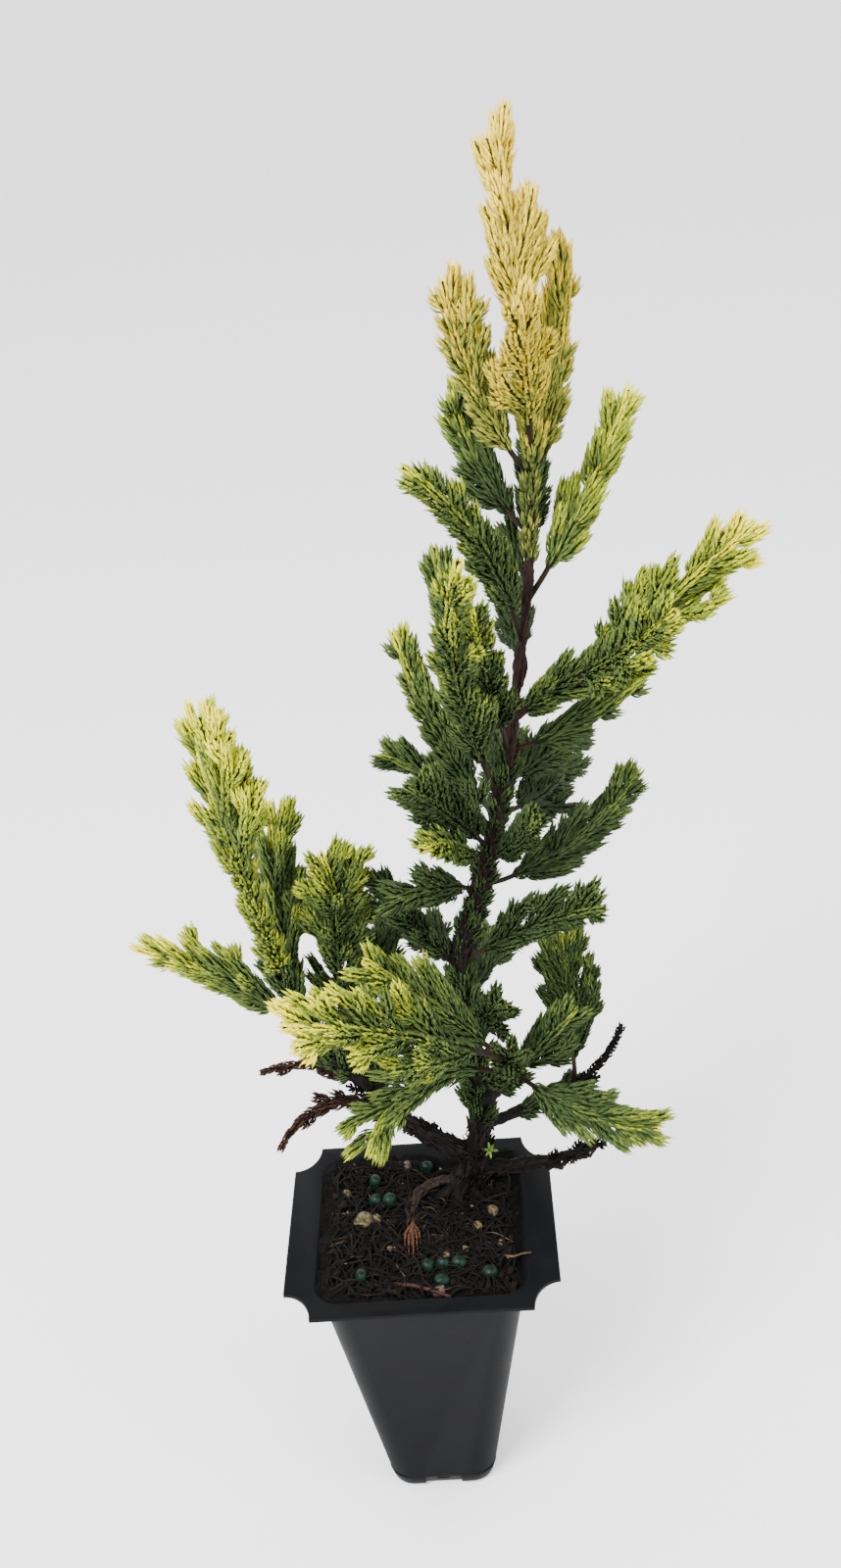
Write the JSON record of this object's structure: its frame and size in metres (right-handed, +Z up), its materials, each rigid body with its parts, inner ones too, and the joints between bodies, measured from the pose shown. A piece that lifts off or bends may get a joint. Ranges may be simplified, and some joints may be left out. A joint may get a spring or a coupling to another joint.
{
  "type": "potted juniper",
  "caption": "Young conifer with a leaning trunk, spreading boughs and lime to gold needle sprays, standing in a tapered square pot with a notched rim.",
  "frame": {"origin": "centre of the pot's flat underside, where it stands", "axes": "+Z up along the pot's axis, -Y to the front as pictured, +X to the right"},
  "size_m": [0.1472, 0.1452, 0.3518],
  "materials": {
    "pot_plastic": "black-grey thermoformed sheet, matte with a soft sheen",
    "potting_mix": "moist dark peat and bark fibre",
    "bark": "rough grey-brown bark, redder on young wood",
    "needles_gold": "straw-gold young needles, satin",
    "needles_lime": "lime-yellow needles, satin",
    "needles_green": "mid-green needles, satin",
    "needles_dark": "dark green inner needles, satin",
    "needles_dead_brown": "dry brown needles, matte",
    "needles_dead_black": "dead blackened needles, matte"
  },
  "bodies": {
    "root": {"pot": "pot_plastic", "soil": "potting_mix", "trunk": "bark", "bough_left_low": "bark", "bough_left_out": "bark", "bough_left_up": "bark", "bough_front": "bark", "bough_right_back": "bark", "bough_right_bare": "bark", "bough_right_high": "bark", "bough_left_mid": "bark", "leader_crown": "needles_gold", "leader_skirt": "needles_gold", "leader_left_gold": "needles_gold", "leader_left_green": "needles_green", "leader_right_gold": "needles_gold", "leader_back": "needles_dark", "spray_right_upper": "needles_lime", "spray_left_upper": "needles_green", "twig_left_upper": "needles_dark", "back_upper": "needles_dark", "spray_mid_left_front": "needles_green", "spray_mid_left_tall": "needles_green", "spray_mid_left_back": "needles_dark", "spray_mid_left_out": "needles_green", "spray_mid_left_low": "needles_green", "spray_mid_left_under": "needles_green", "twig_left_yellow": "needles_lime", "spray_right_high": "needles_lime", "spray_right_under": "needles_lime", "twig_right_brown": "needles_dead_brown", "spray_right_mid": "needles_green", "spray_right_inner": "needles_dark", "back_right": "needles_dark", "spray_right_fan": "needles_green", "twig_right_fan": "needles_green", "spray_right_low": "needles_green", "twig_left_mid": "needles_green", "spray_left_mid": "needles_green", "spray_left_hidden": "needles_dark", "spray_left_tall": "needles_lime", "spray_left_inner": "needles_green", "spray_left_far": "needles_lime", "spray_left_upright": "needles_green", "back_left": "needles_dark", "spray_front_left": "needles_lime", "spray_front_high": "needles_lime", "spray_front_down": "needles_lime", "spray_front_right": "needles_lime", "spray_front_up": "needles_green", "spray_right_back": "needles_green", "dead_right": "needles_dead_black", "dead_left_flat": "needles_dead_brown", "dead_left_down": "needles_dead_brown", "sprout_right": "needles_dark", "back_high": "needles_dark", "back_low": "needles_dark", "back_foot": "needles_dark"}
  },
  "joints": []
}
